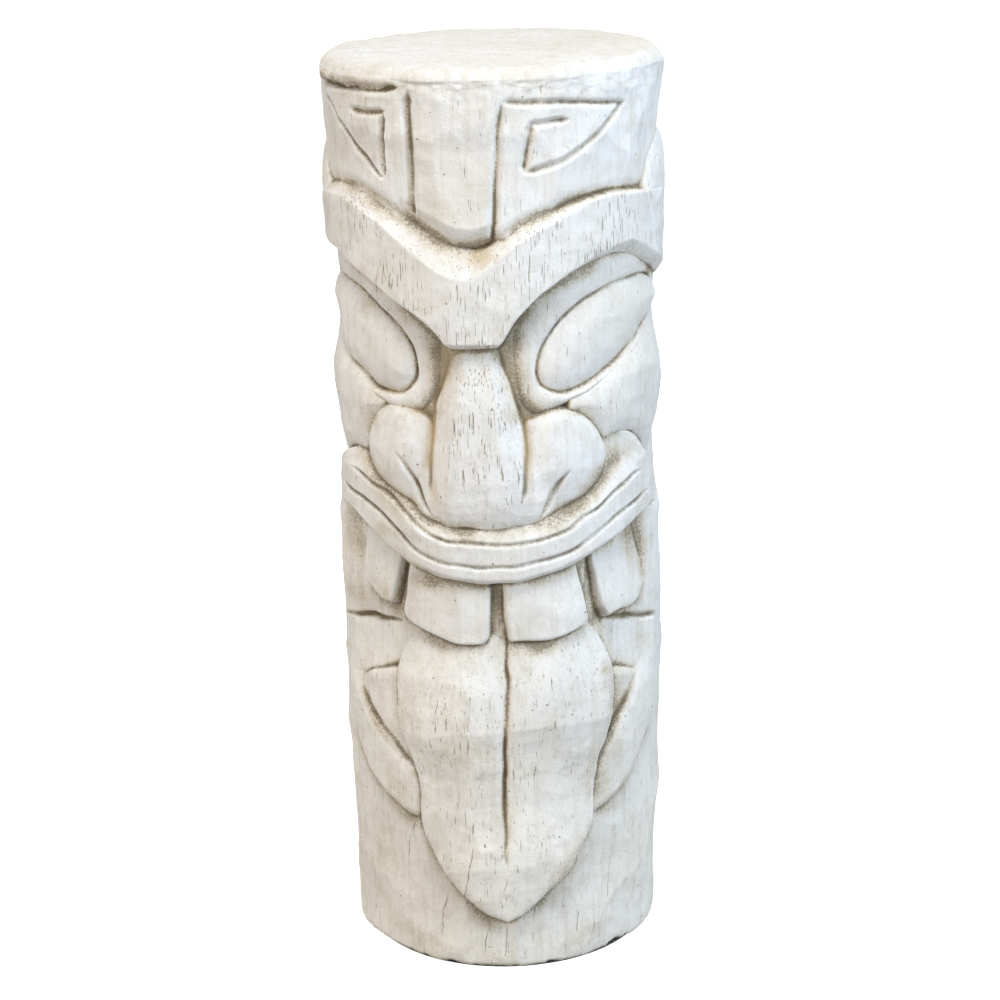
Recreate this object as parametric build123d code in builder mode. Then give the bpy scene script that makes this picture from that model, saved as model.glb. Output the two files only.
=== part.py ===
from build123d import *

import os
from math import cos, sin

# A column-shaped tiki figure, cast in pale cement stone: a hollow shell with a carved face in relief.
#
# The frame stands on the floor at the origin, +Z up, and the face looks along -Y. Outlines of the relief
# are given unrolled, as (s, z) in millimetres: s is the arc along a cylinder of radius REF_R, measured
# from the front line towards +X, and z is the height above the floor.

os.makedirs("parts", exist_ok=True)

# Driving dimensions
HEIGHT = 1000.0
REF_R = 176.0  # the cylinder that the outlines are unrolled from
CORE_R = 150.0  # no relief piece goes deeper than this
HEAD_R = 181.0  # the head block at its widest
PAD_THICK = 2.0
CAP_THICK = 20.0
CAP_EDGE_R = 13.0
BORE_R_BASE = 139.0  # the moulding core is a cone, so that it draws out downwards
BORE_R_TOP = 135.0
CAP_SPIGOT = 22.0
SPIGOT_GAP = 1.5
PAD_R = 159.0
GROOVE_W = 6.0
HEAD_LINE_R = 172.0  # the bottom of the head block's lines
LIP_LINE_R = 173.0
MOUTH_R = 158.0  # the back of the mouth, which shows between the teeth
TONGUE_GROOVE_W = 9.0
TONGUE_GROOVE_R = 160.0
SHELL_TOP = HEIGHT - CAP_THICK

# The plain column, as (radius, height) from the foot up
COLUMN = [
    (163, PAD_THICK), (168, 7), (170, 50), (171, 100), (174, 150), (175, 250), (177, 400), (175, 500),
    (173, 560), (177, 640), (175, 750), (176, 850), (176.5, 915), (180, 945), (HEAD_R, 968),
    (HEAD_R, SHELL_TOP),
]

# Outlines, unrolled
BROW_LEFT = [
    (15, 813), (-20, 817), (-60, 836), (-100, 856), (-135, 868), (-175, 870), (-230, 860), (-300, 848),
    (-306, 805), (-220, 803), (-160, 795), (-100, 765), (-60, 742), (-28, 713), (15, 713),
]
BROW_RIGHT = [
    (-15, 813), (-15, 713), (20, 713), (45, 742), (70, 768), (110, 791), (150, 800), (200, 794), (250, 777),
    (310, 760), (306, 850), (230, 857), (160, 863), (105, 857), (60, 842), (25, 825),
]
NOSE = [
    (-28, 713), (-26, 724), (18, 724), (20, 713), (50, 650), (52, 560), (44, 530), (0, 519), (-45, 524),
    (-58, 540), (-56, 640),
]
NOSTRIL_LEFT = [
    (-40, 600), (-56, 638), (-90, 643), (-125, 635), (-143, 605), (-136, 578), (-96, 557), (-50, 529),
]
NOSTRIL_RIGHT = [
    (36, 600), (44, 636), (85, 642), (115, 635), (140, 608), (148, 580), (136, 555), (98, 534), (44, 523),
]
SOCKET_LEFT = [
    (-20, 700), (-40, 680), (-50, 630), (-90, 636), (-120, 657), (-160, 680), (-210, 708), (-262, 736),
    (-296, 754), (-290, 820), (-160, 820), (-20, 740),
]
SOCKET_RIGHT = [
    (15, 700), (15, 740), (160, 820), (290, 820), (296, 752), (250, 735), (210, 708), (170, 683),
    (130, 663), (100, 636), (50, 630), (35, 680),
]
EYE = [
    (67, 690), (72, 672), (92, 661), (130, 673), (175, 696), (222, 727), (246, 748), (222, 757),
    (190, 765), (160, 765), (115, 751), (82, 724),
]
EYE_DOME_R = 119.0
EYE_DOME_AT = (150, 50, 712)  # arc position, radius and height of the dome's centre
CHEEK = [
    (90, 625), (90, 650), (160, 700), (290, 770), (335, 730), (330, 590), (255, 525), (170, 560), (110, 600),
]
UPPER_LIP_LEFT = [
    (15, 534), (-50, 538), (-96, 562), (-132, 590), (-150, 592), (-175, 583), (-210, 560), (-262, 545),
    (-262, 512), (-180, 517), (-140, 504), (-60, 470), (0, 458), (15, 458),
]
UPPER_LIP_RIGHT = [
    (-15, 534), (-15, 459), (0, 458), (60, 461), (120, 478), (180, 499), (270, 506), (270, 545), (215, 583),
    (180, 603), (140, 606), (125, 570), (95, 548), (50, 538),
]
UPPER_TEETH = [
    [(-150, 520), (-98, 500), (-112, 423), (-130, 430), (-159, 436)],
    [(-82, 500), (8, 480), (5, 393), (-15, 390), (-60, 399), (-94, 415)],
    [(27, 480), (104, 500), (120, 405), (100, 396), (50, 390), (27, 393)],
    [(122, 500), (190, 520), (206, 470), (213, 440), (205, 417), (185, 408), (140, 406)],
]
MOUTH_LEFT = [(50, 500), (-150, 522), (-195, 515), (-200, 450), (-200, 310), (-100, 225), (50, 225)]
MOUTH_RIGHT = [(-10, 500), (-10, 225), (125, 225), (205, 310), (222, 360), (222, 450), (205, 500)]
LOWER_TOOTH_LEFT = [(-182, 391), (-100, 401), (-90, 341), (-118, 338), (-150, 328), (-176, 312), (-192, 352)]
LOWER_TOOTH_RIGHT = [(138, 399), (216, 381), (214, 345), (197, 329), (160, 341), (140, 341)]
INNER_LIP_LEFT = [
    (-80, 341), (-118, 341), (-150, 332), (-178, 316), (-165, 300), (-130, 262), (-97, 240), (-60, 250),
]
INNER_LIP_RIGHT = [(110, 341), (160, 341), (198, 328), (190, 305), (150, 268), (134, 255), (100, 260)]
LOWER_LIP_LEFT = [
    (-60, 250), (-60, 170), (-100, 179), (-140, 197), (-175, 217), (-215, 245), (-262, 285), (-262, 512),
    (-205, 516), (-150, 520), (-162, 470), (-182, 400), (-192, 352), (-178, 316), (-130, 262), (-97, 240),
]
LOWER_LIP_RIGHT = [
    (100, 260), (134, 255), (190, 305), (213, 345), (216, 430), (200, 480), (180, 510), (270, 515),
    (270, 300), (235, 268), (190, 220), (160, 192), (122, 173), (100, 180),
]
TONGUE = [
    (-96, 405), (-113, 370), (-115, 335), (-97, 272), (-80, 225), (-76, 178), (-50, 120), (-20, 88),
    (20, 61), (62, 92), (104, 140), (122, 180), (127, 225), (150, 290), (159, 335), (154, 370), (136, 400),
]
EAR = [(208, 856), (232, 884), (260, 905), (300, 914), (338, 902), (352, 872), (338, 846), (290, 838)]

# Incised lines, unrolled
HEAD_LINES = [
    [(-205, 974), (-76, 977)],
    [(-205, 958), (-150, 920), (-100, 882), (-98, 952), (-142, 951)],
    [(-64, 972), (-67, 862)],
    [(30, 962), (21, 838)],
    [(33, 963), (175, 954), (130, 922), (90, 900), (53, 891), (58, 944), (100, 943)],
]
UPPER_LIP_LINES = [
    [
        (-172, 562), (-130, 553), (-90, 533), (-60, 510), (0, 500), (60, 502), (100, 514), (140, 535),
        (180, 552),
    ],
    [
        (-180, 537), (-140, 531), (-100, 512), (-70, 490), (0, 475), (50, 476), (100, 489), (140, 507),
        (190, 523),
    ],
]
TONGUE_GROOVE = [(25, 402), (23, 300), (21, 138)]
TOOL_REACH = 120.0

# Outer forms of the relief, as (radius, height) from the bottom up
BROW_FORM = [(182, 700), (183, 785), (184, 830), (181, 850), (178, 880)]
NOSE_FORM = [(172, 515), (180, 530), (182, 560), (181, 600), (176, 640), (167, 680), (159, 726)]
NOSTRIL_FORM = [(168, 515), (175, 545), (177, 585), (175, 620), (168, 645)]
SOCKET_FORM = [(172, 635), (167, 680), (162, 720), (156, 770), (154, 835)]
CHEEK_FORM = [(176, 465), (174, 530), (172, 570), (176, 605), (178, 650), (176, 700), (170, 785)]
UPPER_LIP_FORM = [(172, 455), (177, 466), (178, 500), (176, 560), (170, 606)]
UPPER_TOOTH_FORM = [(166, 385), (170, 400), (171, 450), (169, 525)]
LOWER_TOOTH_FORM = [(168, 310), (167, 360), (162, 408)]
INNER_LIP_FORM = [(174, 235), (173, 290), (170, 345)]
LOWER_LIP_FORM = [(173, 165), (176, 185), (177, 300), (177, 470), (175, 525)]
TONGUE_FORM = [(172, 55), (181, 125), (178, 180), (178, 230), (183, 290), (175, 350), (163, 408)]
EAR_FORM = [(183, 835), (184, 860), (183, 920)]


def tangent_plane(s_mid):
    """The plane that touches the reference cylinder at arc position s_mid, facing out, its y along +Z."""
    angle = s_mid / REF_R
    return Plane(
        origin=(REF_R * sin(angle), -REF_R * cos(angle), 0),
        x_dir=(cos(angle), sin(angle), 0),
        z_dir=(sin(angle), -cos(angle), 0),
    )


def on_plane(points, s_mid):
    """Unrolled points as seen square on to the tangent plane at s_mid."""
    return [(REF_R * sin((s - s_mid) / REF_R), z) for s, z in points]


def middle(points):
    """The arc position half way across an outline."""
    return (min(s for s, z in points) + max(s for s, z in points)) / 2


def mirrored(points):
    """The outline on the other side of the front line."""
    return [(-s, z) for s, z in reversed(points)]


def prism(*outlines, bottom_r=CORE_R):
    """Outlines cut straight into the column wall, as deep as the radius bottom_r."""
    with BuildPart() as cutter:
        for outline in outlines:
            s_mid = middle(outline)
            with BuildSketch(tangent_plane(s_mid)):
                with BuildLine():
                    Polyline(*on_plane(outline, s_mid), close=True)
                make_face()
            extrude(amount=TOOL_REACH, both=True)
        with Locations((0, 0, HEIGHT / 2)):
            Cylinder(bottom_r, HEIGHT, mode=Mode.SUBTRACT)
    return cutter.part


def incised(lines, width, bottom_r):
    """Cutters for incised lines of the given width, down to the radius bottom_r."""
    with BuildPart() as cutter:
        for line in lines:
            s_mid = middle(line)
            with BuildSketch(tangent_plane(s_mid)):
                with BuildLine():
                    Polyline(*on_plane(line, s_mid))
                trace(line_width=width)
            extrude(amount=TOOL_REACH, both=True)
        with Locations((0, 0, HEIGHT / 2)):
            Cylinder(bottom_r, HEIGHT, mode=Mode.SUBTRACT)
    return cutter.part


def turned(profile, shift=0.0, s_at=0.0):
    """The turned solid that bounds relief from outside.

    A shift moves its axis towards arc position s_at and tightens its curve, so the relief is crowned there.
    """
    angle = s_at / REF_R
    axis_x = shift * sin(angle)
    axis_y = -shift * cos(angle)
    with BuildPart() as form:
        with BuildSketch(Plane(origin=(axis_x, axis_y, 0), x_dir=(1, 0, 0), z_dir=(0, -1, 0))):
            with BuildLine():
                rim = [(r - shift, z) for r, z in profile]
                Polyline((0, profile[0][1]), *rim, (0, profile[-1][1]), close=True)
            make_face()
        revolve(axis=Axis((axis_x, axis_y, 0), (0, 0, 1)))
    return form.part


def eye_dome(side):
    """The ball that the eyeball's face is part of; side is -1 for the left and 1 for the right."""
    s_at, radius, z = EYE_DOME_AT
    angle = side * s_at / REF_R
    with BuildPart() as form:
        with Locations((radius * sin(angle), -radius * cos(angle), z)):
            Sphere(EYE_DOME_R)
    return form.part


# The relief, nearest first: each piece is cut back by all the pieces before it
tooth_forms = [turned(UPPER_TOOTH_FORM, 70, middle(outline)) for outline in UPPER_TEETH]
RELIEF = [
    ("brow", prism(BROW_LEFT, BROW_RIGHT), turned(BROW_FORM)),
    ("ear_left", prism(mirrored(EAR)), turned(EAR_FORM)),
    ("ear_right", prism(EAR), turned(EAR_FORM)),
    ("nose", prism(NOSE), turned(NOSE_FORM, 70)),
    ("nostril_left", prism(NOSTRIL_LEFT), turned(NOSTRIL_FORM, 90, -95)),
    ("nostril_right", prism(NOSTRIL_RIGHT), turned(NOSTRIL_FORM, 90, 95)),
    ("eyeball_left", prism(mirrored(EYE)), eye_dome(-1)),
    ("eyeball_right", prism(EYE), eye_dome(1)),
    ("eye_socket_left", prism(SOCKET_LEFT), turned(SOCKET_FORM)),
    ("eye_socket_right", prism(SOCKET_RIGHT), turned(SOCKET_FORM)),
    ("upper_lip", prism(UPPER_LIP_LEFT, UPPER_LIP_RIGHT), turned(UPPER_LIP_FORM)),
    ("upper_tooth_1", prism(UPPER_TEETH[0]), tooth_forms[0]),
    ("upper_tooth_2", prism(UPPER_TEETH[1]), tooth_forms[1]),
    ("upper_tooth_3", prism(UPPER_TEETH[2]), tooth_forms[2]),
    ("upper_tooth_4", prism(UPPER_TEETH[3]), tooth_forms[3]),
    ("tongue", prism(TONGUE), turned(TONGUE_FORM, 60, 21)),
    ("lower_tooth_left", prism(LOWER_TOOTH_LEFT), turned(LOWER_TOOTH_FORM)),
    ("lower_tooth_right", prism(LOWER_TOOTH_RIGHT), turned(LOWER_TOOTH_FORM)),
    ("inner_lip_left", prism(INNER_LIP_LEFT), turned(INNER_LIP_FORM)),
    ("inner_lip_right", prism(INNER_LIP_RIGHT), turned(INNER_LIP_FORM)),
    ("lower_lip_left", prism(LOWER_LIP_LEFT), turned(LOWER_LIP_FORM)),
    ("lower_lip_right", prism(LOWER_LIP_RIGHT), turned(LOWER_LIP_FORM)),
    ("cheek_left", prism(mirrored(CHEEK)), turned(CHEEK_FORM)),
    ("cheek_right", prism(CHEEK), turned(CHEEK_FORM)),
]
lines = {
    "upper_lip": incised(UPPER_LIP_LINES, GROOVE_W, LIP_LINE_R),
    "tongue": incised([TONGUE_GROOVE], TONGUE_GROOVE_W, TONGUE_GROOVE_R),
}

taken = []
for label, cutter, form in RELIEF:
    with BuildPart() as piece:
        add(cutter)
        add(form, mode=Mode.INTERSECT)
        if taken:
            add(taken, mode=Mode.SUBTRACT)
        if label in lines:
            add(lines[label], mode=Mode.SUBTRACT)
    taken.append(cutter)
    piece.part.label = label
    export_step(piece.part, f"parts/{label}.step")
    print(label, len(piece.solids()), round(piece.part.volume / 1000), "cm3")

# The shell: the plain column with a pocket for each piece of relief, and its conical bore
with BuildPart() as shell:
    with BuildSketch(Plane.XZ):
        with BuildLine():
            Polyline((0, PAD_THICK), *COLUMN, (0, SHELL_TOP), close=True)
        make_face()
    revolve(axis=Axis.Z)
    with BuildSketch(Plane.XZ):
        with BuildLine():
            Polyline(
                (0, PAD_THICK),
                (BORE_R_BASE, PAD_THICK),
                (BORE_R_TOP, SHELL_TOP),
                (0, SHELL_TOP),
                close=True,
            )
        make_face()
    revolve(axis=Axis.Z, mode=Mode.SUBTRACT)
    add(taken, mode=Mode.SUBTRACT)
    add(prism(MOUTH_LEFT, MOUTH_RIGHT, bottom_r=MOUTH_R), mode=Mode.SUBTRACT)
    add(incised(HEAD_LINES, GROOVE_W, HEAD_LINE_R), mode=Mode.SUBTRACT)
shell.part.label = "shell"
export_step(shell.part, "parts/shell.step")
print("shell", len(shell.solids()), round(shell.part.volume / 1000), "cm3")

# The cap that closes the top, with a spigot that sits in the bore
with BuildPart() as top_cap:
    with Locations((0, 0, SHELL_TOP)):
        Cylinder(HEAD_R, CAP_THICK, align=(Align.CENTER, Align.CENTER, Align.MIN))
    fillet(top_cap.edges().group_by(Axis.Z)[-1], CAP_EDGE_R)
    with Locations((0, 0, SHELL_TOP)):
        Cylinder(BORE_R_TOP - SPIGOT_GAP, CAP_SPIGOT, align=(Align.CENTER, Align.CENTER, Align.MAX))
top_cap.part.label = "top_cap"
export_step(top_cap.part, "parts/top_cap.step")

# The rubber disc that is glued under the foot
with BuildPart() as base_pad:
    with BuildSketch():
        Circle(PAD_R)
    extrude(amount=PAD_THICK)
base_pad.part.label = "base_pad"
export_step(base_pad.part, "parts/base_pad.step")
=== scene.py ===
"""A whitewashed tiki figure, cast in cement stone: relief modelled on the unrolled column, then wrapped.

Shapes are worked out on a cylinder of radius REF_R, unrolled: s is the arc length from the front line
towards +X, z the height and r the distance from the column's axis, all in millimetres.
"""
import math

import bpy
import numpy as np
from mathutils import Matrix, Vector


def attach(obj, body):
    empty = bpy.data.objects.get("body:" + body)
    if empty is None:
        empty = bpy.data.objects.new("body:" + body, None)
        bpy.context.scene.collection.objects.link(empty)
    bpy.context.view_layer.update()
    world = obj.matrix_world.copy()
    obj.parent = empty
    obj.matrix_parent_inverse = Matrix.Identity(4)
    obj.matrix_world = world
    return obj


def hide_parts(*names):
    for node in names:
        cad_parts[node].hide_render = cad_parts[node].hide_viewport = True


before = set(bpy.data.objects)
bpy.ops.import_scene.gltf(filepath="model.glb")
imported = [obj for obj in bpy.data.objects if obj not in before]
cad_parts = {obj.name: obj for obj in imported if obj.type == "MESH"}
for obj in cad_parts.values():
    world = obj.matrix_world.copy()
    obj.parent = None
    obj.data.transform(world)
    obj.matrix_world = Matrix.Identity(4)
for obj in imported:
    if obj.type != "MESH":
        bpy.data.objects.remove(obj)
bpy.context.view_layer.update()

MM = 0.001
FAR = 1e9
HEIGHT = 1000.0
RIM_R = 181.0
REF_R = 176.0
TURN = 2 * math.pi * REF_R
# the carved pieces reach in to CORE_R, under the column's surface, and none comes out as far as OUTER_R;
# the column itself reaches in to INNER_R
INNER_R = 137.0
CORE_R = 145.0
OUTER_R = 192.0
# cells of about 1.5 mm each way
N_S = 736
N_Z = 668
STEP_S = TURN / N_S
STEP_Z = HEIGHT / (N_Z - 1)
STEP_R = 1.5

S_AXIS = (np.arange(N_S) - N_S // 2) * STEP_S
Z_AXIS = np.arange(N_Z) * STEP_Z
S, Z = np.meshgrid(S_AXIS, Z_AXIS)


# ---------------------------------------------------------------- camera, light and floor
def add_object(name, data):
    """A new object, linked to the scene."""
    obj = bpy.data.objects.new(name, data)
    bpy.context.scene.collection.objects.link(obj)
    return obj


AZIMUTH = math.radians(7.0)
PITCH = math.radians(16.934)
ROLL = math.radians(-1.216)
DISTANCE = 2.722
CAMERA_Z = 1.3246
EYE = (DISTANCE * math.sin(AZIMUTH), -DISTANCE * math.cos(AZIMUTH), CAMERA_Z)
camera_data = bpy.data.cameras.new("camera")
camera_data.sensor_width = 36.0
camera_data.lens = 91.65
camera = add_object("camera", camera_data)
aim = Matrix.Rotation(AZIMUTH, 4, "Z") @ Matrix.Rotation(math.pi / 2 - PITCH, 4, "X")
camera.matrix_world = Matrix.Translation(Vector(EYE)) @ (aim @ Matrix.Rotation(ROLL, 4, "Z"))
bpy.context.scene.camera = camera


def area_light(name, position, target, size, power, colour):
    """A square area light that faces target."""
    data = bpy.data.lights.new(name, "AREA")
    data.size = size
    data.energy = power
    data.color = colour
    turn = (Vector(target) - Vector(position)).to_track_quat("-Z", "Y").to_matrix().to_4x4()
    add_object(name, data).matrix_world = Matrix.Translation(Vector(position)) @ turn


area_light("key", (3.2, -1.8, 2.2), (0, 0, 0.3), 1.6, 118, (0.69, 0.835, 1.0))
area_light("fill", (-2.7, -2.3, 0.8), (0, 0, 0.2), 2.0, 55, (1.0, 0.915, 0.82))
area_light("overhead", (0.1, -1.4, 3.0), (0, 0, 0.3), 0.9, 38, (1.0, 0.96, 0.91))
area_light("behind", (-0.6, 3.4, 2.0), (0, 0, 0.5), 2.4, 60, (1.0, 0.98, 0.95))

# a studio dome, brighter above than below
world = bpy.data.worlds.new("studio")
world.use_nodes = True
dome = world.node_tree
background = dome.nodes["Background"]
direction = dome.nodes.new("ShaderNodeTexCoord")
height_of = dome.nodes.new("ShaderNodeSeparateXYZ")
dome.links.new(direction.outputs["Generated"], height_of.inputs[0])
strength = dome.nodes.new("ShaderNodeMapRange")
for socket, value in (("From Min", -1.0), ("From Max", 1.0), ("To Min", 0.27), ("To Max", 0.40)):
    strength.inputs[socket].default_value = value
dome.links.new(height_of.outputs["Z"], strength.inputs["Value"])
dome.links.new(strength.outputs["Result"], background.inputs["Strength"])
background.inputs["Color"].default_value = (1.0, 0.985, 0.96, 1.0)
bpy.context.scene.world = world
bpy.context.scene.view_settings.view_transform = "Standard"

# the floor and four far walls are white paper that casts no diffuse light on the figure
paper = bpy.data.materials.new("floor_paper")
paper.use_nodes = True
paper_shader = paper.node_tree.nodes["Principled BSDF"]
paper_shader.inputs["Base Color"].default_value = (0.93, 0.93, 0.93, 1)
paper_shader.inputs["Roughness"].default_value = 0.9
paper_shader.inputs["Emission Color"].default_value = (1, 1, 1, 1)
paper_shader.inputs["Emission Strength"].default_value = 0.75
FLOOR_HALF = 60
WALL_HALF = 36
WALL_TOP = 40
SQUARE = [(-1, -1), (1, -1), (1, 1), (-1, 1)]


def paper_sheet(name, corners, faces):
    """An object of the paper, hidden from diffuse rays."""
    mesh = bpy.data.meshes.new(name)
    mesh.from_pydata(corners, [], faces)
    mesh.materials.append(paper)
    obj = add_object(name, mesh)
    obj.visible_diffuse = False
    return obj


floor = paper_sheet("floor", [(FLOOR_HALF * x, FLOOR_HALF * y, 0) for x, y in SQUARE], [(0, 1, 2, 3)])
wall_corners = [(WALL_HALF * x, WALL_HALF * y, z) for z in (0, WALL_TOP) for x, y in SQUARE]
wall_faces = [(k, (k + 1) % 4, 4 + (k + 1) % 4, 4 + k) for k in range(4)]
backdrop = paper_sheet("backdrop", wall_corners, wall_faces)
backdrop.visible_glossy = False
backdrop.visible_shadow = False


# ---------------------------------------------------------------- fields on the unrolled grid
def step(low, high, x):
    """0 below low, 1 above high, smooth between."""
    t = np.clip((x - low) / (high - low), 0.0, 1.0)
    return t * t * (3 - 2 * t)


def along(x, knots):
    """Linear interpolation through knots (x, value)."""
    return np.interp(x, *zip(*knots))


def blur(field, size):
    """Gaussian blur of a whole-grid field; round the column it wraps, and past the ends it mirrors."""
    pad = int(4 * size / STEP_Z)
    tall = np.concatenate([field[pad:0:-1], field, field[-2:-pad - 2:-1]])
    fz = np.fft.fftfreq(tall.shape[0], STEP_Z)[:, None]
    fs = np.fft.rfftfreq(tall.shape[1], STEP_S)[None, :]
    soft = np.exp(-2 * (math.pi * size) ** 2 * (fz**2 + fs**2))
    return np.fft.irfft2(np.fft.rfft2(tall) * soft, tall.shape)[pad:pad + field.shape[0]]


def smooth_noise(size, seed):
    """Noise with features of about that size, from -1 to 1 or so."""
    field = blur(np.random.default_rng(seed).standard_normal(S.shape), size)
    return field / field.std() * 0.6


def hewn(spacing_s, spacing_z, seed):
    """Flat facets as a chisel leaves them on a round post: how far each point stands out of its facet."""
    columns = round(TURN / spacing_s)
    rows = int(HEIGHT / spacing_z) + 3
    jitter = np.random.default_rng(seed).uniform(-0.38, 0.38, (rows, columns, 2))
    cell_s = TURN / columns
    across = (S + TURN / 2) / cell_s
    up = Z / spacing_z + 1
    i = np.floor(across).astype(int)
    j = np.floor(up).astype(int)
    best = np.full(S.shape, FAR)
    for dj in (-1, 0, 1):
        for di in (-1, 0, 1):
            jj = np.clip(j + dj, 0, rows - 1)
            ii = (i + di) % columns
            ds = across - (i + di + 0.5 + jitter[jj, ii, 0])
            dz = up - (j + dj + 0.5 + jitter[jj, ii, 1])
            best = np.minimum(best, ds**2 + dz**2)
    facets = best * cell_s**2 / (2 * REF_R)
    return blur(facets - facets.mean(), 1.0)


CORNER = math.radians(50)
CURVE_STEPS = 6


def curve(points, closed=True):
    """A smooth line through the points, which keeps corners of more than CORNER."""
    p = np.array(points, float)
    n = len(p)
    before = np.roll(p, 1, axis=0)
    after = np.roll(p, -1, axis=0)
    if not closed:
        before[0] = p[0]
        after[-1] = p[-1]
    line = []
    for k in range(n if closed else n - 1):
        a, b = p[k], p[(k + 1) % n]
        chord = b - a
        tangents = []
        for at, (one, other) in ((k, (before[k], after[k])), ((k + 1) % n, (a, after[(k + 1) % n]))):
            into, out = p[at] - one, other - p[at]
            turn = abs(math.atan2(into[0] * out[1] - into[1] * out[0], float(into @ out)))
            lengths = np.linalg.norm(into) + np.linalg.norm(out)
            if turn > CORNER:
                tangents.append(chord)
            else:
                tangents.append((into + out) * np.linalg.norm(chord) / max(lengths, 1e-6))
        for t in np.linspace(0, 1, CURVE_STEPS, endpoint=False):
            h1 = 2 * t**3 - 3 * t**2 + 1
            h2 = t**3 - 2 * t**2 + t
            h3 = t**3 - t**2
            line.append(h1 * a + h2 * tangents[0] + (1 - h1) * b + h3 * tangents[1])
    if not closed:
        line.append(p[-1])
    return np.array(line)


def off_segment(s0, z0, s1, z1, s, z):
    """The way from a segment to each grid point, in s and in z, and how far along it starts, from 0 to 1."""
    span = max((s1 - s0) ** 2 + (z1 - z0) ** 2, 1e-9)
    t = np.clip(((s - s0) * (s1 - s0) + (z - z0) * (z1 - z0)) / span, 0, 1)
    return s - s0 - t * (s1 - s0), z - z0 - t * (z1 - z0), t


def line_field(points, s, z):
    """The distance from each grid point to an open line, and how far along the line it is, from 0 to 1."""
    line = curve(points, closed=False)
    lengths = np.concatenate([[0], np.cumsum(np.linalg.norm(np.diff(line, axis=0), axis=1))])
    best = np.full(s.shape, FAR)
    where = np.zeros(s.shape)
    for k in range(len(line) - 1):
        ds, dz, t = off_segment(*line[k], *line[k + 1], s, z)
        away = np.hypot(ds, dz)
        nearer = away < best
        best = np.where(nearer, away, best)
        where = np.where(nearer, lengths[k] + t * (lengths[k + 1] - lengths[k]), where)
    return best, where / lengths[-1]


def area_field(points, s, z, smooth=True):
    """Signed distance to a closed outline: negative inside."""
    line = curve(points) if smooth else np.array(points, float)
    best = np.full(s.shape, FAR)
    inside = np.zeros(s.shape, bool)
    for k in range(len(line)):
        (s0, z0), (s1, z1) = line[k], line[(k + 1) % len(line)]
        ds, dz, _ = off_segment(s0, z0, s1, z1, s, z)
        best = np.minimum(best, ds**2 + dz**2)
        crosses = (z0 > z) != (z1 > z)
        if z0 != z1:
            inside ^= crosses & (s < (s1 - s0) * (z - z0) / (z1 - z0) + s0)
    return np.where(inside, -1.0, 1.0) * np.sqrt(best)


def groove(height, points, s, z, width, depth, taper=0.12):
    """Cuts a gouge line: a rounded V that thins out at both ends."""
    away, where = line_field(points, s, z)
    strength = np.sqrt(np.clip(np.minimum(where, 1 - where) / taper, 0.05, 1))
    half = width / 2 * strength
    cut = depth * strength * np.clip(1 - away / half, 0, 1) ** 0.8
    return height - cut


def smooth_max(a, b, size):
    """The larger of two fields, rounded where they are nearly equal."""
    h = np.clip(0.5 + 0.5 * (a - b) / size, 0, 1)
    return b + (a - b) * h + size * h * (1 - h)


def seen_at(points, radius):
    """Points as they look on the reference cylinder from the front, moved back along that view to a radius.

    A point that is hard to see from there moves less, and one that is hidden stays where it is.
    """
    eye = np.array(EYE) / MM
    moved = []
    for s, z in points:
        normal = np.array([math.sin(s / REF_R), -math.cos(s / REF_R), 0])
        point = REF_R * normal + np.array([0, 0, z])
        ray = point - eye
        facing = -float(normal @ ray) / np.linalg.norm(ray)
        share = min(max((facing - 0.10) / 0.25, 0.0), 1.0)
        a = ray[0] ** 2 + ray[1] ** 2
        b = eye[0] * ray[0] + eye[1] * ray[1]
        c = eye[0] ** 2 + eye[1] ** 2 - radius**2
        hit = (-b - math.sqrt(max(b * b - a * c, 0.0))) / a
        x, y, height = eye + hit * ray
        moved.append((s + share * (REF_R * math.atan2(x, -y) - s), z + share * (height - z)))
    return moved


def mirror(points):
    """The outline on the other side of the front line."""
    return [(-s, z) for s, z in reversed(points)]


def sample(field, s, z):
    """Bilinear look-up of a whole-grid field at points (s, z)."""
    x = np.mod((s + TURN / 2) / STEP_S, N_S)
    y = np.clip(z / STEP_Z, 0, N_Z - 1.001)
    i, j = x.astype(int) % N_S, y.astype(int)
    u, v = x - np.floor(x), y - j
    k = (i + 1) % N_S
    low = field[j, i] * (1 - u) + field[j, k] * u
    high = field[j + 1, i] * (1 - u) + field[j + 1, k] * u
    return low * (1 - v) + high * v


FACETS = hewn(52, 84, 11)
FINE_FACETS = hewn(30, 30, 12)
RIPPLE = smooth_noise(9, 13)
GRIT = smooth_noise(2.6, 14)
DRIFT = smooth_noise(24, 17)
WARP_S = 1.5 * smooth_noise(10, 18)
WARP_Z = 1.5 * smooth_noise(10, 19)
# the grid that outlines and lines are drawn on, so that none is quite straight
WARPED = (S + WARP_S, Z + WARP_Z)


# ---------------------------------------------------------------- the column
COLUMN = [
    (0, 166), (2, 167), (5, 168.5), (14, 169.3), (60, 169.5), (100, 171), (150, 174), (250, 175.5),
    (400, 178), (500, 177), (560, 175), (640, 177), (700, 176), (800, 176), (850, 176), (915, 176.5),
    (945, 179), (968, 181), (1000, 181),
]
FACE_HOLLOW = [
    (0, 812), (-60, 812), (-300, 812), (-325, 700), (-318, 600), (-290, 520), (-240, 500), (-225, 420),
    (-215, 330), (-190, 262), (-100, 225), (20, 180), (120, 225), (190, 250), (225, 330), (240, 420),
    (250, 500), (300, 520), (330, 600), (330, 700), (306, 744), (298, 812),
]
HEAD_FOOT = [
    (-300, 852), (-230, 860), (-185, 870), (-140, 869), (-100, 855), (-60, 832), (-20, 815), (0, 813),
    (15, 817), (50, 838), (100, 856), (160, 862), (230, 857), (300, 850),
]
column = along(Z, COLUMN)
hollow = area_field(FACE_HOLLOW, S, Z)
column -= step(14, -30, hollow) * 19.0
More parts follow.
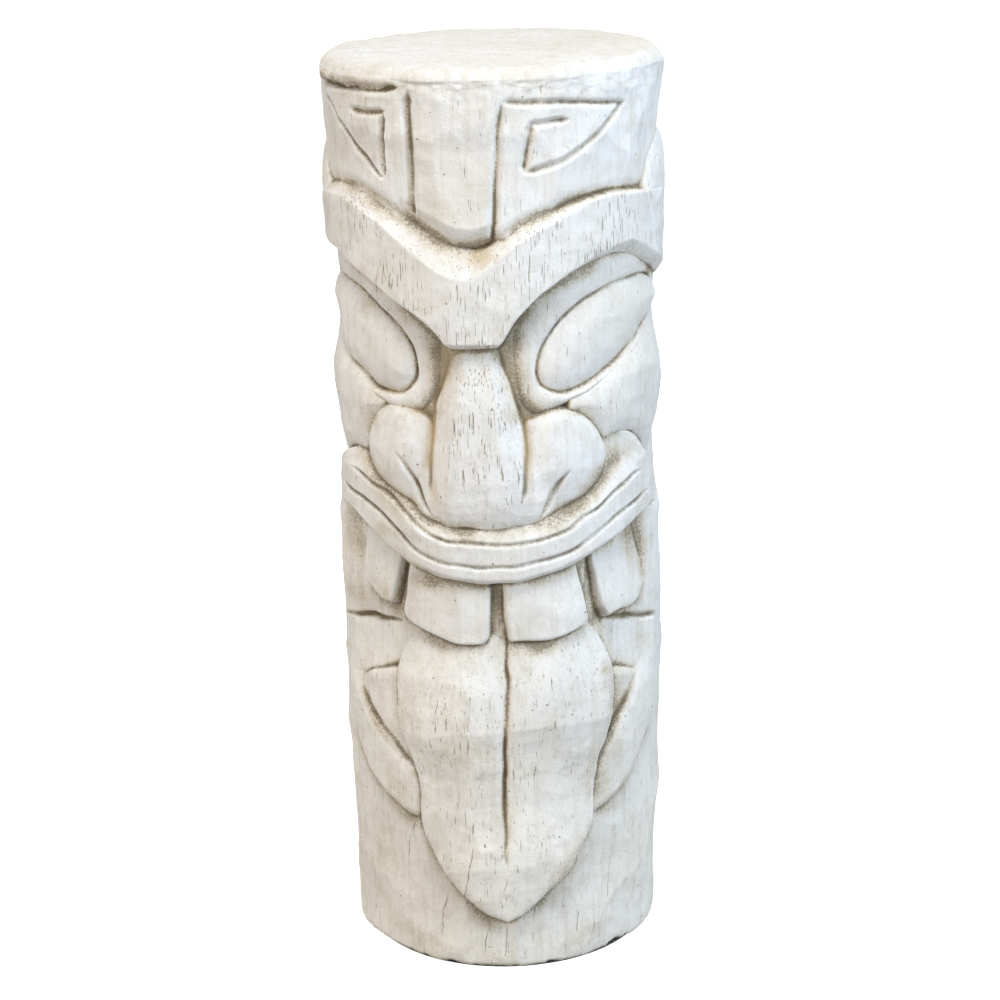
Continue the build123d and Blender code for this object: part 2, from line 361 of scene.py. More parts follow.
# the forehead's lower edge: a flat chamfer in the middle, a worn edge to the sides
above_foot = Z - along(S, HEAD_FOOT)
on_head = (Z > 780) * (np.abs(S) < 330)
middle_part = step(-88, -66, S) * step(34, 12, S)
column -= on_head * middle_part * 0.50 * np.clip(23 - above_foot, 0, 30)
column -= on_head * (4.0 - 2.5 * middle_part) * step(16, 0, above_foot)
# the ground round the tongue is lower than the column's sides
ground = step(235, 150, np.abs(S - 15)) * step(262, 215, Z)
column -= 7.5 * ground
# the gums that the upper teeth stand on
GUMS = [
    (-108, 520), (-88, 424), (-60, 408), (-16, 402), (-4, 387), (28, 387), (36, 402), (80, 404),
    (112, 418), (126, 440), (138, 520),
]
gum = step(3, -3, area_field(GUMS, S, Z, smooth=False))
column = np.maximum(column, gum * (161 + 0.04 * (440 - Z)))
# nicks along the foot, and the torn stretch under the cap
column -= step(9, 2, Z) * 2.4 * np.maximum(smooth_noise(4, 21) - 0.3, 0)
torn = step(955, 970, Z)
column += torn * (0.7 * RIPPLE + 0.45 * GRIT)
column += 0.9 * FACETS + 0.45 * FINE_FACETS + 0.32 * RIPPLE + 0.15 * GRIT

HEAD_GROOVES = [
    ([(-215, 973), (-150, 974), (-76, 977)], 10, 7.5, 0.06),
    ([(-215, 960), (-180, 945), (-150, 920), (-125, 900), (-98, 882)], 7, 6.0, 0.08),
    ([(-146, 951), (-94, 953)], 9, 6.5, 0.12),
    ([(-97, 952), (-99, 884)], 9, 6.5, 0.10),
    ([(-65, 974), (-66, 920), (-67, 846)], 12, 6.5, 0.08),
    ([(30, 962), (25, 905), (19, 822)], 13, 6.5, 0.14),
    ([(31, 963), (80, 962), (130, 958), (175, 953)], 8, 5.0, 0.06),
    ([(173, 953), (150, 938), (130, 922), (110, 910), (80, 899), (52, 891)], 9, 5.5, 0.08),
    ([(57, 945), (101, 942)], 9, 5.5, 0.2),
    ([(61, 945), (56, 920), (53, 892)], 11, 5.5, 0.10),
    ([(69, 964), (72, 980)], 4, 2.5, 0.2),
]
for points, width, depth, taper in HEAD_GROOVES:
    column = groove(column, points, *WARPED, width, depth, taper)
MOUTH_LINES = [
    seen_at([(-190, 392), (-150, 396), (-100, 402)], 166),
    seen_at([(138, 402), (175, 396), (222, 386)], 166),
]
for line in MOUTH_LINES:
    column = groove(column, line, *WARPED, 8, 5.5, 0.2)


# ---------------------------------------------------------------- relief features
MARGIN = 16.0
OUTSIDE = 9.0


class Feature:
    """One carved form: an outline, a height field over it, rounded arrises and walls that flare downwards."""

    def __init__(self, name, outline, height, edge=2.5, draft=0.3, pores=0.3, node=None):
        """height(s, z, inside) gives r, where inside is the distance in from the outline.

        It stands for one CAD node, which has the feature's name in small letters unless node says another.
        """
        self.name = name
        self.nodes = [node or name.lower()]
        self.edge = edge
        self.draft = draft
        self.pores = pores
        p = np.array(outline, float)
        i0, i1 = np.searchsorted(S_AXIS, [p[:, 0].min() - MARGIN, p[:, 0].max() + MARGIN])
        j0, j1 = np.searchsorted(Z_AXIS, [p[:, 1].min() - MARGIN, p[:, 1].max() + MARGIN])
        self.window = (slice(j0, j1), slice(i0, i1))
        self.s = S[self.window]
        self.z = Z[self.window]
        self.warped = [grid[self.window] for grid in WARPED]
        self.away = area_field(outline, *self.warped)
        self.height = height(self.s, self.z, np.maximum(-self.away, 0))
        self.height = self.height + 0.6 * FACETS[self.window] + 0.5 * FINE_FACETS[self.window]
        self.height += 0.32 * RIPPLE[self.window] + 0.16 * GRIT[self.window]

    def top(self):
        """The feature's own surface as one height field, walls included."""
        return np.where(self.away < 0, self.height, self.height - self.away / self.draft)

    def solid(self):
        """The feature as a signed field in (z, s, r): negative inside."""
        low = CORE_R - 3
        r = low + STEP_R * np.arange(int((OUTER_R - low) / STEP_R))
        rise = r[None, None, :] - self.height[:, :, None]
        wall = self.away[:, :, None] + self.draft * rise
        field = smooth_max(rise, wall, self.edge)
        field = np.maximum(field, CORE_R - r[None, None, :])
        # the window's sides are outside the form, so that its surface closes
        for side in (field[0], field[-1], field[:, 0], field[:, -1]):
            side[:] = OUTSIDE
        return field, r


def crown(inside, width, drop):
    """How far a surface has fallen near its outline, so that it is cushioned."""
    t = np.clip(inside / width, 0, 1)
    return drop * (1 - t) ** 2


features = []


def feature(*args, **kwargs):
    """Makes a feature and keeps it."""
    features.append(Feature(*args, **kwargs))
    return features[-1]


# brow: a flat band above, an arris, then a ledge that slopes back to the head block
BROW_TOP = [
    (-306, 850), (-230, 861), (-185, 871), (-140, 870), (-100, 857), (-60, 835), (-20, 817), (0, 814),
    (18, 820), (50, 840), (100, 858), (160, 864), (230, 858), (306, 850),
]
BROW_UNDER = [
    (310, 750), (280, 756), (240, 770), (215, 780), (180, 794), (150, 798), (130, 796), (100, 788),
    (65, 765), (40, 740), (22, 714), (-26, 712), (-40, 727), (-60, 745), (-80, 756), (-120, 776),
    (-160, 793), (-200, 801), (-260, 803), (-306, 803),
]
BROW_EDGE = BROW_UNDER[7::-1]
BROW_ARRIS = [
    (-306, 846), (-200, 858), (-170, 858), (-140, 852), (-100, 836), (-60, 808), (-40, 793), (-20, 785),
    (-5, 784), (5, 789), (20, 802), (40, 818), (60, 830), (90, 845), (120, 857), (150, 862), (306, 848),
]
BROW_SOFFIT = [(95, 0), (150, 10), (185, 18), (220, 16), (300, 12)]


def brow_height(s, z, inside):
    arris = along(s, BROW_ARRIS)
    over = np.maximum(z - arris, 0)
    reach = np.maximum(along(s, BROW_TOP) - arris, 3)
    fall = (4 + 17 * np.clip(reach / 28, 0, 1)) * np.clip(over / reach, 0, 1.3)
    nose_end = np.clip(717 - z, 0, 9) * (np.abs(s + 2) < 40)
    soffit = np.clip(along(s, BROW_EDGE) + along(s, BROW_SOFFIT) - z, 0, 20) * (s > 95)
    return 183 - fall - 0.9 * nose_end - 0.7 * soffit


feature("Brow", BROW_TOP + BROW_UNDER, brow_height, edge=1.4, draft=0.15, pores=1.0)

# ears: curved ends that stand out behind the head block
EAR = [
    (208, 850), (213, 866), (228, 886), (250, 902), (290, 912), (330, 902), (352, 872), (338, 840),
    (260, 835),
]


def ear_height(s, z, inside):
    return 183.6 - crown(inside, 26, 6)


for side, outline in (("left", mirror(EAR)), ("right", EAR)):
    feature("Ear_" + side, outline, ear_height, edge=3, pores=0.8)

# nose: a wedge that comes forward to its tip, with a flat ridge
NOSE = [
    (-25, 716), (21, 716), (27, 690), (35, 670), (42, 650), (49, 625), (50, 600), (49, 560), (47, 538),
    (44, 525), (30, 518), (-30, 518), (-46, 522), (-52, 534), (-55, 550), (-55, 580), (-53, 610),
    (-50, 640), (-43, 668), (-34, 692),
]
NOSE_PROFILE = [
    (510, 170), (518, 173.5), (526, 177), (536, 180), (548, 182), (568, 183), (600, 182), (640, 178.5),
    (680, 171.5), (716, 164),
]
NOSE_RIDGE = [(519, 34), (560, 31), (600, 27), (650, 20), (716, 11)]


def nose_height(s, z, inside):
    flank = np.maximum(np.abs(s + 1) - along(z, NOSE_RIDGE), 0)
    slope = along(z, [(519, 0.24), (560, 0.34), (620, 0.45), (716, 0.50)])
    return along(z, NOSE_PROFILE) - slope * flank - crown(inside, 5, 2) * step(560, 610, z)


feature("Nose", seen_at(NOSE, 172), nose_height, edge=1.6, draft=0.28, pores=0.9)

# nostrils: round cushions with one gouge line each
NOSTRIL_LEFT = [
    (-40, 600), (-53, 630), (-65, 638), (-90, 643), (-110, 644), (-127, 637), (-139, 622), (-144, 600),
    (-140, 577), (-120, 561), (-100, 549), (-80, 539), (-60, 528), (-40, 519), (-30, 540),
]
NOSTRIL_RIGHT = [
    (36, 600), (52, 630), (65, 636), (90, 641), (104, 638), (118, 630), (132, 617), (143, 602),
    (149, 586), (147, 572), (139, 559), (122, 548), (100, 536), (80, 527), (62, 521), (34, 518),
    (28, 540),
]


def nostril_height(s, z, inside):
    outward = np.abs(s)
    ball = 1 - np.clip(((outward - 100) / 60) ** 2 + ((z - 588) / 70) ** 2, 0, 1.6)
    height = 163 + 16.5 * ball - crown(inside, 10, 2.5) * step(60, 75, outward)
    # below the nostrils the nose and they are one form
    joined = step(606, 562, z) * step(92, 60, outward)
    base = along(z, [(519, 171.5), (530, 176), (545, 177.5), (570, 176), (606, 172)])
    base -= 0.10 * np.maximum(outward - 45, 0)
    return height * (1 - joined) + np.maximum(base, height) * joined


for side, outline, radius, line, width, depth in (
    ("left", NOSTRIL_LEFT, 170, [(-94, 594), (-82, 580), (-71, 562), (-63, 545), (-53, 527)], 9, 5),
    ("right", NOSTRIL_RIGHT, 171, [(97, 577), (85, 562), (77, 548), (70, 535), (64, 524)], 10, 6),
):
    nostril = feature("Nostril_" + side, seen_at(outline, radius), nostril_height, pores=0.2)
    nostril.height = groove(nostril.height, line, *nostril.warped, width, depth, 0.3)

# eyes: lid rings that deepen towards the nose, round almond balls
LID_RIGHT = [
    (25, 722), (26, 700), (31, 680), (39, 661), (48, 647), (60, 641), (80, 644), (100, 650), (130, 662),
    (160, 680), (200, 708), (240, 734), (285, 762), (300, 800), (150, 815), (60, 780), (35, 745),
]
LID_LEFT = [
    (-24, 712), (-33, 712), (-38, 690), (-43, 670), (-51, 651), (-62, 642), (-80, 639), (-100, 643),
    (-116, 650), (-130, 660), (-160, 675), (-200, 702), (-240, 730), (-285, 762), (-300, 810),
    (-150, 815), (-60, 770),
]
BALL_RIGHT = [
    (67, 685), (70, 672), (80, 664), (95, 660), (112, 664), (132, 673), (152, 682), (178, 696),
    (205, 714), (235, 738), (252, 752), (225, 762), (195, 767), (165, 766), (135, 759), (113, 750),
    (95, 737), (80, 720), (71, 704),
]
BALL_LEFT = [
    (-72, 690), (-72, 677), (-79, 667), (-91, 660), (-110, 660), (-132, 666), (-160, 679), (-190, 695),
    (-220, 712), (-250, 738), (-258, 755), (-225, 768), (-190, 772), (-160, 767), (-138, 758),
    (-118, 747), (-98, 733), (-84, 718), (-75, 704),
]


def ball_height(s, z, inside):
    return along(np.abs(s), [(65, 168), (110, 171), (180, 174), (255, 178)]) - crown(inside, 34, 8)


LID_FLOOR = [(20, 147), (35, 151), (50, 156), (70, 160), (110, 165), (200, 168), (280, 165)]
for side, lid, ball in (("left", LID_LEFT, BALL_LEFT), ("right", LID_RIGHT, BALL_RIGHT)):
    almond = seen_at(ball, 168)

    def lid_height(s, z, inside, almond=almond):
        outward = np.abs(s)
        rim = area_field(almond, s, z)
        share = np.clip(inside / (inside + np.maximum(rim, 0) + 1e-6), 0, 1)
        base = along(outward, LID_FLOOR)
        ring = 4.5 * (1 - (2 * share - 1) ** 2) - 4.5 * np.exp(-((rim - 1) / 3.0) ** 2)
        return base + ring - 5 * step(740, 800, z - 0.22 * outward)

    socket = "eye_socket_" + side
    feature("Eyelids_" + side, seen_at(lid, 164), lid_height, pores=0.5, node=socket)
    feature("Eyeball_" + side, almond, ball_height, draft=0.4, pores=0.25)

# cheeks
CHEEK_LEFT = [
    (-112, 645), (-130, 655), (-160, 674), (-200, 700), (-240, 728), (-285, 760), (-335, 730),
    (-335, 600), (-262, 548), (-215, 560), (-170, 583), (-145, 588), (-130, 620),
]
CHEEK_RIGHT = [
    (102, 640), (104, 648), (130, 660), (160, 677), (200, 705), (240, 730), (285, 758), (335, 730),
    (335, 600), (262, 552), (215, 585), (180, 600), (160, 606), (143, 604), (125, 625),
]


def cheek_height(s, z, inside):
    base = along(z, [(545, 166), (575, 170), (600, 175), (640, 178.5), (665, 178), (700, 172), (760, 166)])
    return base - 5 * step(165, 110, np.abs(s)) - crown(inside, 22, 5) - 8 * step(285, 335, np.abs(s))


feature("Cheek_left", seen_at(CHEEK_LEFT, 172), cheek_height)
feature("Cheek_right", seen_at(CHEEK_RIGHT, 172), cheek_height, pores=0.4)

# upper lip: three bands parted by two gouge lines, with a chamfered lower edge
LIP_TOP = [
    (-290, 515), (-262, 524), (-240, 540), (-215, 562), (-172, 584), (-150, 588), (-135, 572),
    (-100, 552), (-60, 532), (-35, 523), (0, 519), (35, 519), (70, 524), (110, 545), (135, 565),
    (144, 604), (165, 605), (190, 596), (215, 572), (250, 545), (276, 528), (300, 518),
]
LIP_BOTTOM = [
    (300, 500), (280, 506), (240, 508), (200, 505), (160, 491), (120, 478), (80, 465), (40, 457),
    (0, 456), (-40, 461), (-80, 471), (-120, 491), (-140, 500), (-160, 508), (-180, 515), (-240, 512),
    (-290, 500),
]
LIP_FOOT = LIP_BOTTOM[::-1]
LIP_LINES = [
    [(-240, 556), (-176, 562), (-150, 560), (-130, 553), (-90, 533), (-60, 510), (-20, 502), (20, 499),
     (60, 502), (100, 514), (140, 535), (180, 552), (208, 554), (270, 550)],
    [(-205, 539), (-180, 537), (-140, 531), (-100, 512), (-70, 490), (-30, 478), (25, 474), (80, 482),
     (120, 497), (160, 516), (200, 525), (222, 525)],
]


def lip_height(s, z, inside):
    front = step(215, 150, np.abs(s))
    above = np.clip(z - along(s, LIP_LINES[0]) - 1, 0, 24)
    below = np.clip(along(s, LIP_FOOT) + 5 - z, 0, 6)
    return 179.5 - 0.62 * above * front - 0.7 * below * front - 8 * step(180, 300, np.abs(s))


lip = feature("Upper_lip", LIP_TOP + LIP_BOTTOM, lip_height, edge=1.6, draft=0.15, pores=0.12)
for points in (LIP_LINES[0][1:-1], LIP_LINES[1]):
    lip.height = groove(lip.height, points, *lip.warped, 6.5, 4.2, 0.05)

# upper teeth
TEETH = [
    [(-152, 520), (-95, 500), (-98, 470), (-110, 424), (-122, 425), (-137, 430), (-157, 437), (-160, 460)],
    [(-80, 500), (9, 480), (8, 455), (3, 397), (0, 391), (-20, 390), (-40, 392), (-60, 398), (-85, 408),
     (-93, 418)],
    [(23, 480), (105, 500), (105, 470), (119, 406), (112, 402), (95, 396), (75, 392), (50, 391),
     (30, 391), (27, 398)],
    [(121, 500), (190, 520), (200, 470), (210, 445), (207, 428), (195, 413), (180, 408), (165, 408),
     (146, 405), (138, 420)],
]
for number, outline in enumerate(TEETH, 1):
    middle = sum(s for s, z in outline) / len(outline)

    def tooth_height(s, z, inside, middle=middle):
        return 171.8 - 0.0008 * (s - middle) ** 2 + 0.075 * (430 - z) - crown(inside, 4, 1)

    name = "Upper_tooth_%d" % number
    feature(name, seen_at(outline, 171), tooth_height, edge=1.1, draft=0.42, pores=0.1)

# tongue: crowned, in three long facets each side of a gouge line
TONGUE = [
    (-92, 415), (-98, 400), (-106, 380), (-112, 355), (-113, 330), (-110, 310), (-103, 283), (-93, 262),
    (-84, 243), (-79, 220), (-77, 190), (-75, 172), (-62, 140), (-50, 122), (-35, 104), (-18, 87),
    (0, 72), (20, 61), (40, 75), (60, 91), (75, 105), (90, 120), (103, 140), (114, 157), (121, 178),
    (124, 215), (129, 237), (136, 257), (150, 285), (158, 310), (160, 335), (156, 358), (145, 382),
    (137, 400), (128, 415),
]
TONGUE_PROFILE = [
    (50, 174), (75, 177), (100, 180.5), (126, 182.5), (165, 180), (200, 177.5), (235, 177.5),
    (262, 180.5), (288, 184.2), (310, 181.5), (340, 176), (375, 168), (400, 162), (415, 160),
]


def tongue_height(s, z, inside):
    uneven = 6.0 * sample(DRIFT, s, z)
    side = np.abs(s - 22)
    half = along(z, [(60, 10), (125, 45), (190, 70), (300, 95), (345, 100), (415, 90)])
    slope = np.maximum(side - 0.55 * half, 0)
    roll = crown(inside, 22, 6) * step(230, 300, z) + crown(inside, 7, 1.5) * step(300, 230, z)
    valley = 4.0 * np.exp(-((side / 13) ** 2)) * step(120, 250, z)
    return along(z + uneven - 0.05 * (s - 22), TONGUE_PROFILE) + 1.0 - 0.05 * slope - roll - valley


TONGUE_EDGE = seen_at(TONGUE, 175)
TONGUE_AWAY = area_field(TONGUE_EDGE, S, Z)
TONGUE_LINE = [(26, 430), (25, 360), (23, 300), (20, 230), (21, 180), (22, 118)]
tongue = feature("Tongue", TONGUE_EDGE, tongue_height, edge=1.8, draft=0.25, pores=0.6)
tongue.height = groove(tongue.height, TONGUE_LINE, *tongue.warped, 8, 5, 0.35)

# the sides of the mouth: lower teeth, wedges and the outer lip
LOWER_TOOTH_LEFT = [
    (-200, 393), (-180, 390), (-140, 397), (-90, 406), (-85, 335), (-115, 340), (-150, 331), (-178, 315),
    (-215, 322), (-215, 360),
]
LOWER_TOOTH_RIGHT = [
    (130, 404), (170, 394), (216, 381), (238, 370), (238, 322), (197, 325), (165, 336), (140, 341),
]
INNER_LIP_LEFT = [
    (-80, 343), (-115, 342), (-150, 333), (-165, 326), (-181, 314), (-165, 292), (-145, 274), (-120, 257),
    (-96, 238), (-70, 236),
]
INNER_LIP_RIGHT = [(120, 341), (165, 337), (200, 327), (180, 297), (150, 267), (132, 244), (115, 240)]
LIP_SIDE_LEFT = [
    (-60, 215), (-60, 175), (-80, 176), (-110, 184), (-140, 197), (-165, 213), (-182, 230), (-200, 252),
    (-240, 300), (-262, 420), (-268, 508), (-200, 518), (-140, 510), (-140, 440), (-150, 350),
    (-178, 314), (-165, 292), (-145, 274), (-120, 257), (-98, 238),
]
LIP_SIDE_RIGHT = [
    (105, 200), (108, 173), (120, 173), (135, 181), (160, 191), (178, 206), (195, 222), (212, 237),
    (236, 265), (262, 310), (276, 420), (276, 505), (200, 505), (170, 500), (172, 440), (175, 350),
    (198, 322), (180, 297), (150, 267), (134, 246),
]


def lower_tooth_height(s, z, inside):
    outward = np.abs(s - 15)
    base = along(outward, [(95, 157), (120, 161), (175, 165), (200, 168), (215, 172)])
    return base - crown(inside, 8, 3) + 0.06 * (365 - z)


def inner_lip_height(s, z, inside):
    return 171.5 + 0.03 * (z - 280) - crown(inside, 8, 2.5)


def side_lip_height(s, z, inside):
    outer = np.abs(s - 8)
    recess = along(outer, [(140, 27), (170, 24), (200, 14), (216, 5), (230, 0)]) * step(300, 345, z)
    worn = 0.42 * np.maximum(9 - inside, 0) * step(330, 300, z)
    turned_in = 8 * step(225, 272, outer) * step(255, 320, z)
    return 178.5 - recess - worn - turned_in


for name, outline, height, draft in (
    ("Lower_tooth_left", seen_at(LOWER_TOOTH_LEFT, 167), lower_tooth_height, 0.4),
    ("Lower_tooth_right", seen_at(LOWER_TOOTH_RIGHT, 168), lower_tooth_height, 0.4),
    ("Inner_lip_left", seen_at(INNER_LIP_LEFT, 171), inner_lip_height, 0.3),
    ("Inner_lip_right", seen_at(INNER_LIP_RIGHT, 171), inner_lip_height, 0.3),
    ("Lower_lip_left", LIP_SIDE_LEFT, side_lip_height, 0.3),
    ("Lower_lip_right", LIP_SIDE_RIGHT, side_lip_height, 0.3),
):
    feature(name, outline, height, edge=2, draft=draft)

# these sink towards the tongue, and the mouth's line runs on across them
for f in features:
    if f.name.startswith(("Lower_", "Inner_")):
        f.height -= 9.0 * np.exp(-np.maximum(TONGUE_AWAY[f.window], -6) / 16)
    if f.name.startswith(("Lower_tooth", "Lower_lip")):
        for line in MOUTH_LINES:
            f.height = groove(f.height, line, *f.warped, 8.5, 6, 0.2)


# ---------------------------------------------------------------- the whole surface, for dirt, wear and painted shade
surface = column.copy()
for f in features:
    surface[f.window] = np.maximum(surface[f.window], f.top())
surface = np.maximum(surface, CORE_R)
crease = np.clip((blur(surface, 2.2) - surface - 0.06) / 1.1, 0, 1)
corner = np.clip((blur(surface, 6.0) - surface - 0.4) / 4.0, 0, 1)
recess = np.clip((blur(surface, 18.0) - surface - 0.8) / 10.0, 0, 1)
arris = np.clip((surface - blur(surface, 3.0)) / 1.8, 0, 1)
# soft spots of dirt and painted shade, one row each: s, z, half sizes and strength; many sit where shade
# falls: under the brow, under the nose, in the corners of the nose and the mouth, and under the teeth
GRIME_AND_SHADE_SPOTS = [
    (50, 640, 22, 10, 0.80), (-60, 640, 24, 9, 0.60), (110, 640, 26, 10, 0.50), (-100, 745, 60, 16, 0.35),
    (70, 745, 50, 14, 0.30), (-135, 640, 22, 26, 0.45), (-105, 505, 60, 9, 0.35), (0, 513, 90, 7, 0.55),
    (-198, 458, 24, 60, 0.75), (192, 485, 24, 40, 0.55), (-140, 425, 50, 16, 0.50),
    # painted shadows: of the teeth on the tongue at (-40, 388), and of the upper lip on the teeth at (-50,
    # 452)
    (-40, 388, 50, 14, 0.45), (-150, 930, 70, 45, 0.30), (-50, 452, 60, 8, 0.55),
    # painted shadows of the teeth on the tongue and on the mouth's sides, at z 385 to 400
    (-110, 400, 40, 14, 0.50), (150, 398, 40, 10, 0.45), (40, 385, 16, 30, 0.35),
    (-130, 335, 40, 12, 0.45), (170, 330, 30, 14, 0.40), (-105, 300, 14, 60, 0.30),
    (152, 290, 16, 60, 0.35), (-100, 215, 26, 34, 0.40), (130, 225, 20, 40, 0.40),
    (-60, 120, 26, 30, 0.30), (75, 95, 30, 26, 0.30), (-70, 850, 70, 12, 0.18), (-10, 822, 40, 10, 0.30),
    (-140, 968, 60, 12, 0.45), (0, 255, 110, 30, 0.22), (180, 110, 60, 60, 0.16),
    (-170, 110, 60, 80, 0.16), (120, 850, 90, 12, 0.12),
]
# lines of dirt and painted shade, one row each: points, width and strength; some rows paint shadows, marked
# below, and the rest lay dirt and shade along creases and round the foot
GRIME_AND_SHADE_LINES = [
    # dirt and painted shade on the lip's top band, under the nose
    ([(-175, 580), (-150, 574), (-100, 542), (-60, 520), (0, 509), (60, 511), (110, 532),
      (150, 572), (190, 580)], 12, 0.70),
    # painted shadow of the teeth on the tongue's top
    ([(-100, 396), (-40, 382), (20, 380), (80, 384), (135, 398)], 11, 0.55),
    # painted shadow under the cap's overhanging hem
    ([(-240, 978), (-150, 976), (-70, 978)], 7, 0.70),
    ([(-200, 868), (-140, 872), (-100, 859), (-60, 838), (0, 818), (50, 842), (100, 860),
      (200, 864)], 4, 0.50),
    # painted shade under the brow, over both eyes
    ([(-170, 790), (-110, 768), (-50, 728), (-30, 705)], 9, 0.70),
    ([(28, 705), (50, 735), (90, 772), (140, 788)], 7, 0.60),
    # painted shadow of the upper lip on the teeth, and painted shade in the mouth's corners round the end
    # teeth
    ([(-40, 455), (0, 452), (60, 455), (120, 472), (190, 496)], 7, 0.45),
    ([(-190, 510), (-150, 500), (-95, 480), (-40, 455)], 8, 0.60),
    ([(-172, 520), (-176, 460), (-170, 420), (-130, 412), (-92, 412)], 10, 0.75),
    ([(195, 500), (214, 470), (218, 430), (205, 402), (150, 396)], 10, 0.60),
    ([(26, 400), (25, 370), (24, 345)], 9, 0.45),
    ([(21, 250), (20, 215), (22, 140)], 8, 0.30),
    ([(-205, 240), (-160, 205), (-110, 178), (-80, 168), (-55, 120), (0, 62), (20, 52)], 12, 0.50),
    ([(20, 52), (60, 84), (110, 150), (122, 166), (160, 188), (210, 232)], 12, 0.48),
    ([(-225, 275), (-182, 230), (-140, 197), (-100, 182), (-78, 176)], 5, 0.50),
    ([(-178, 312), (-150, 275), (-110, 247), (-96, 238)], 4, 0.65),
    ([(-180, 318), (-150, 334), (-100, 343)], 7, 0.60),
    ([(125, 176), (165, 195), (212, 237), (245, 285)], 5, 0.50),
    ([(134, 246), (160, 275), (198, 322)], 4, 0.65),
    ([(130, 343), (165, 337), (200, 326)], 7, 0.60),
    ([(-205, 100), (-150, 40), (-60, 12), (60, 12), (160, 40)], 20, 0.26),
]
# spots of dirt and painted shade in the deepest corners, beside the nose and eyes and between the teeth: s,
# z, half sizes and strength
DEEP_GRIME_AND_SHADE = [
    (-40, 695, 24, 50, 1.0), (36, 690, 22, 48, 0.95), (-56, 650, 22, 16, 0.9), (50, 650, 22, 16, 0.9),
    (-87, 450, 14, 60, 0.85), (14, 430, 12, 60, 0.80), (112, 450, 14, 60, 0.85),
]


def spots(rows):
    """The strongest of several soft spots at each grid point; a row is s, z, half sizes and strength."""
    field = np.zeros(S.shape)
    for s0, z0, wide, high, strength in rows:
        field = np.maximum(field, strength * np.exp(-((S - s0) / wide) ** 2 - ((Z - z0) / high) ** 2))
    return field


def soft_line(points, wide, strength):
    """How strong a soft line is at each grid point, and how far along the line that is."""
    away, where = line_field(points, *WARPED)
    return strength * np.exp(-((away / wide) ** 2)), where


# dirt and painted shade together; the deep spots count only where the surface lies deep, where shade falls
grime_and_shade = np.maximum(spots(DEEP_GRIME_AND_SHADE) * step(169, 156, surface), spots(GRIME_AND_SHADE_SPOTS))
for row in GRIME_AND_SHADE_LINES:
    grime_and_shade_dab, where = soft_line(*row)
    grime_and_shade = np.maximum(grime_and_shade, grime_and_shade_dab * np.minimum(1, 6 * np.minimum(where, 1 - where) + 0.3))
blotches = np.clip(1.0 + 0.55 * smooth_noise(20, 15) + 0.45 * smooth_noise(7, 16), 0.25, 1.9)
# dirt and painted shade are smeared over the hollows, more in the grimy and shaded places, and lie dark and
# thin along the creases
smeared_dirt_and_shade = blotches * ((0.40 * corner + 0.60 * recess) * (0.8 + grime_and_shade) + 0.70 * grime_and_shade)
rubbed_off = 0.5 * arris * (1 - np.minimum(grime_and_shade, 0.9))
smear_and_shade_map = blur(np.clip(smeared_dirt_and_shade - rubbed_off, 0, 1.2), 0.8)
# dark crease lines: painted shade in the creases, with dirt
crease_shade_and_dirt_map = crease * (0.85 + 0.75 * grime_and_shade + 0.45 * smooth_noise(12, 20))
# the dark crease lines are fainter on the right of the forehead
crease_shade_and_dirt_map *= 1 - 0.30 * step(862, 885, Z) * step(0, 25, S)
# dark lines along the nose's creases, the mouth's lines and the lip wedges' edges: painted crease shade as
# well as dirt
CREASE_SHADE_AND_DIRT_LINES = [(line, 1.9, 0.85) for line in MOUTH_LINES] + [
    ([(-47, 650), (-51, 620), (-53, 590), (-52, 556)], 2.6, 1.0),
    ([(46, 646), (50, 618), (50, 585), (47, 548)], 2.6, 1.0),
    ([(-222, 272), (-182, 230), (-140, 197), (-100, 182), (-78, 176)], 2.0, 0.80),
    ([(125, 176), (165, 195), (212, 237), (236, 268)], 2.0, 0.80),
    ([(-178, 313), (-165, 292), (-145, 274), (-120, 257), (-96, 238)], 1.8, 0.50),
    ([(198, 322), (180, 297), (150, 267), (134, 246)], 1.8, 0.50),
]
for row in CREASE_SHADE_AND_DIRT_LINES:
    stroke, where = soft_line(*row)
    crease_shade_and_dirt_map = np.maximum(crease_shade_and_dirt_map, stroke * np.minimum(1, 8 * where * (1 - where) + 0.3))
crease_shade_and_dirt_map = np.clip(1.3 * blur(np.clip(crease_shade_and_dirt_map, 0, 1), 1.4), 0, 1)
# walls look up the ground level beside them here, so that dirt and painted shade reach all the way down them
WALL_CELLS = 4
rim_level = surface
for _ in range(WALL_CELLS):
    lifted = rim_level.copy()
    for axis, by in ((0, 1), (0, -1), (1, 1), (1, -1)):
        lifted = np.maximum(lifted, np.roll(rim_level, by, axis))
    rim_level = lifted

